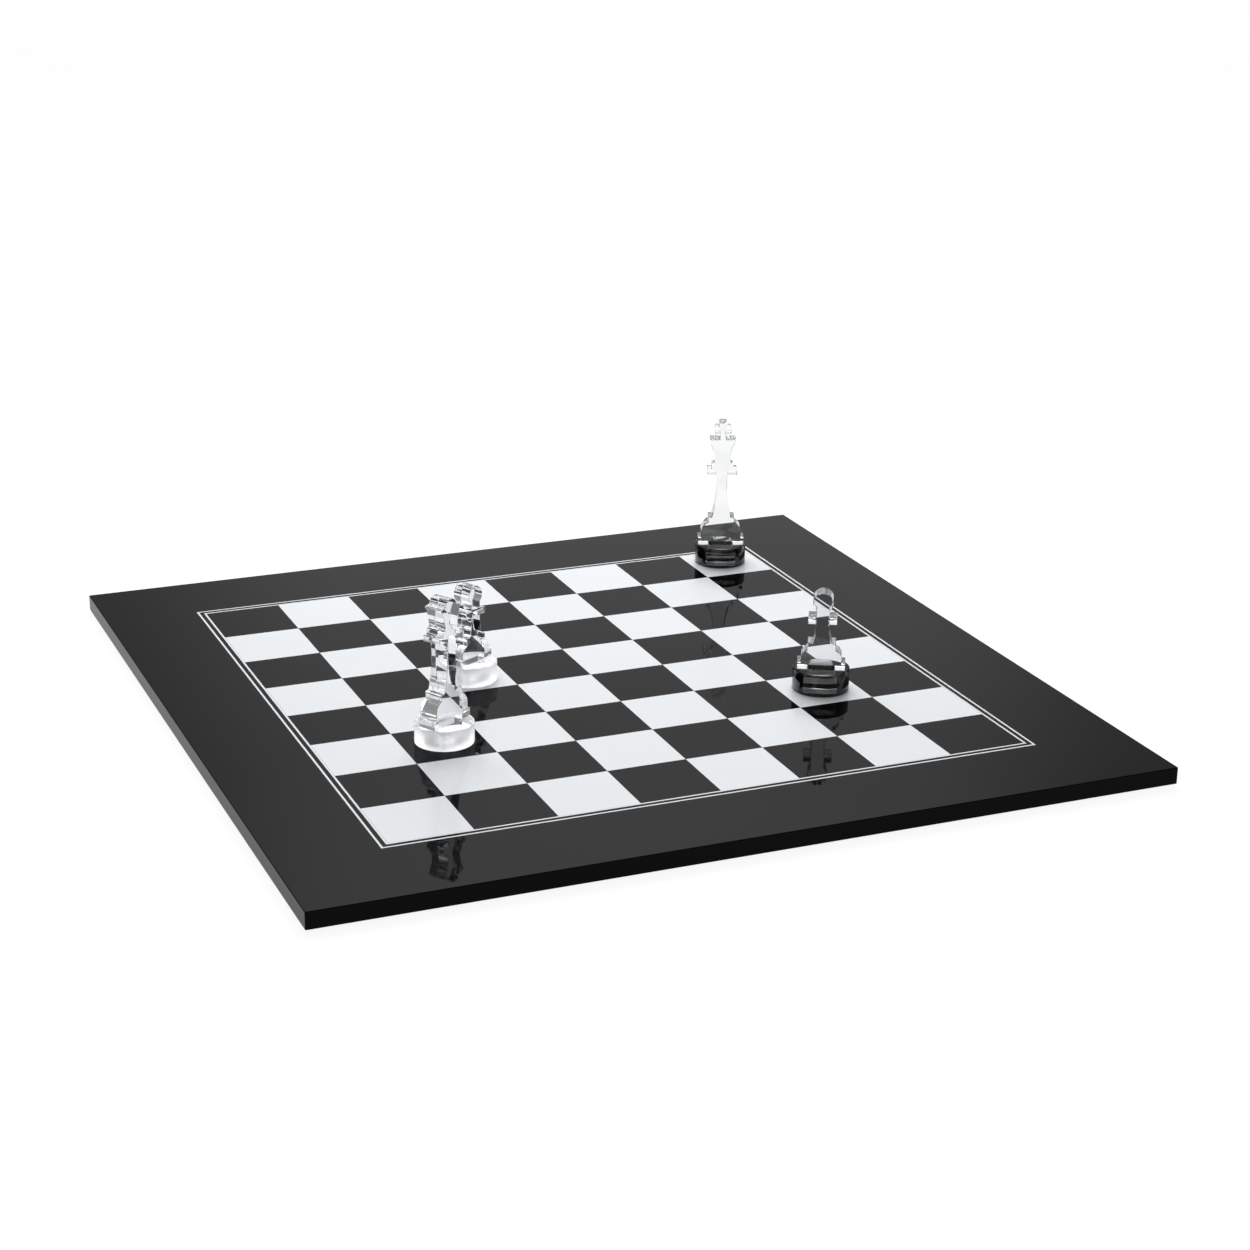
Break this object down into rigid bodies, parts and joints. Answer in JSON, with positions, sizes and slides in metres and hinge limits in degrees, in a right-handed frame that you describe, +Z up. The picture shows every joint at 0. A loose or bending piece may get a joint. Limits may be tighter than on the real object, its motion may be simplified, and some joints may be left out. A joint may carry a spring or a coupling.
{
  "type": "chess set with board",
  "caption": "Gloss black board with light squares and a double border line, and modern clear men: flat silhouettes standing in smoked or white round bases.",
  "frame": {"origin": "centre of the board's footprint, on the surface that its pads stand on", "axes": "+Z up; +X along the ranks, from White's side to Black's; +Y along the files, from the h-file to the a-file"},
  "size_m": [0.5, 0.5, 0.1096],
  "materials": {
    "black_acrylic": "cast black acrylic, mirror gloss with polished edges",
    "white_enamel": "white enamel inlay, levelled and polished flush",
    "clear_acrylic": "clear cast acrylic, laser-cut with flame-polished edges",
    "smoked_acrylic": "dark smoked transparent acrylic, polished, lacquered black underneath",
    "white_backed_acrylic": "clear acrylic with a frosted wall, lacquered white underneath",
    "pad_rubber": "soft matt rubber"
  },
  "bodies": {
    "board": {"board_slab": "black_acrylic", "inner_line": "white_enamel", "outer_line": "white_enamel", "light_square_h1": "white_enamel", "light_square_f1": "white_enamel", "light_square_d1": "white_enamel", "light_square_b1": "white_enamel", "light_square_g2": "white_enamel", "light_square_e2": "white_enamel", "light_square_c2": "white_enamel", "light_square_a2": "white_enamel", "light_square_h3": "white_enamel", "light_square_f3": "white_enamel", "light_square_d3": "white_enamel", "light_square_b3": "white_enamel", "light_square_g4": "white_enamel", "light_square_e4": "white_enamel", "light_square_c4": "white_enamel", "light_square_a4": "white_enamel", "light_square_h5": "white_enamel", "light_square_f5": "white_enamel", "light_square_d5": "white_enamel", "light_square_b5": "white_enamel", "light_square_g6": "white_enamel", "light_square_e6": "white_enamel", "light_square_c6": "white_enamel", "light_square_a6": "white_enamel", "light_square_h7": "white_enamel", "light_square_f7": "white_enamel", "light_square_d7": "white_enamel", "light_square_b7": "white_enamel", "light_square_g8": "white_enamel", "light_square_e8": "white_enamel", "light_square_c8": "white_enamel", "light_square_a8": "white_enamel", "pad_h1": "pad_rubber", "pad_h8": "pad_rubber", "pad_a1": "pad_rubber", "pad_a8": "pad_rubber"},
    "black_king": {"black_king_base": "smoked_acrylic", "black_king_silhouette": "clear_acrylic"},
    "black_pawn": {"black_pawn_base": "smoked_acrylic", "black_pawn_silhouette": "clear_acrylic"},
    "white_queen": {"white_queen_base": "white_backed_acrylic", "white_queen_silhouette": "clear_acrylic"},
    "white_pawn": {"white_pawn_base": "white_backed_acrylic", "white_pawn_silhouette": "clear_acrylic"}
  },
  "joints": [
    {"name": "black_king_lift", "type": "slide", "parent": "board", "child": "black_king", "axis": [0, 0, 1], "range_m": [0, 0.12]},
    {"name": "black_pawn_lift", "type": "slide", "parent": "board", "child": "black_pawn", "axis": [0, 0, 1], "range_m": [0, 0.12]},
    {"name": "white_queen_lift", "type": "slide", "parent": "board", "child": "white_queen", "axis": [0, 0, 1], "range_m": [0, 0.12]},
    {"name": "white_pawn_lift", "type": "slide", "parent": "board", "child": "white_pawn", "axis": [0, 0, 1], "range_m": [0, 0.12]}
  ]
}
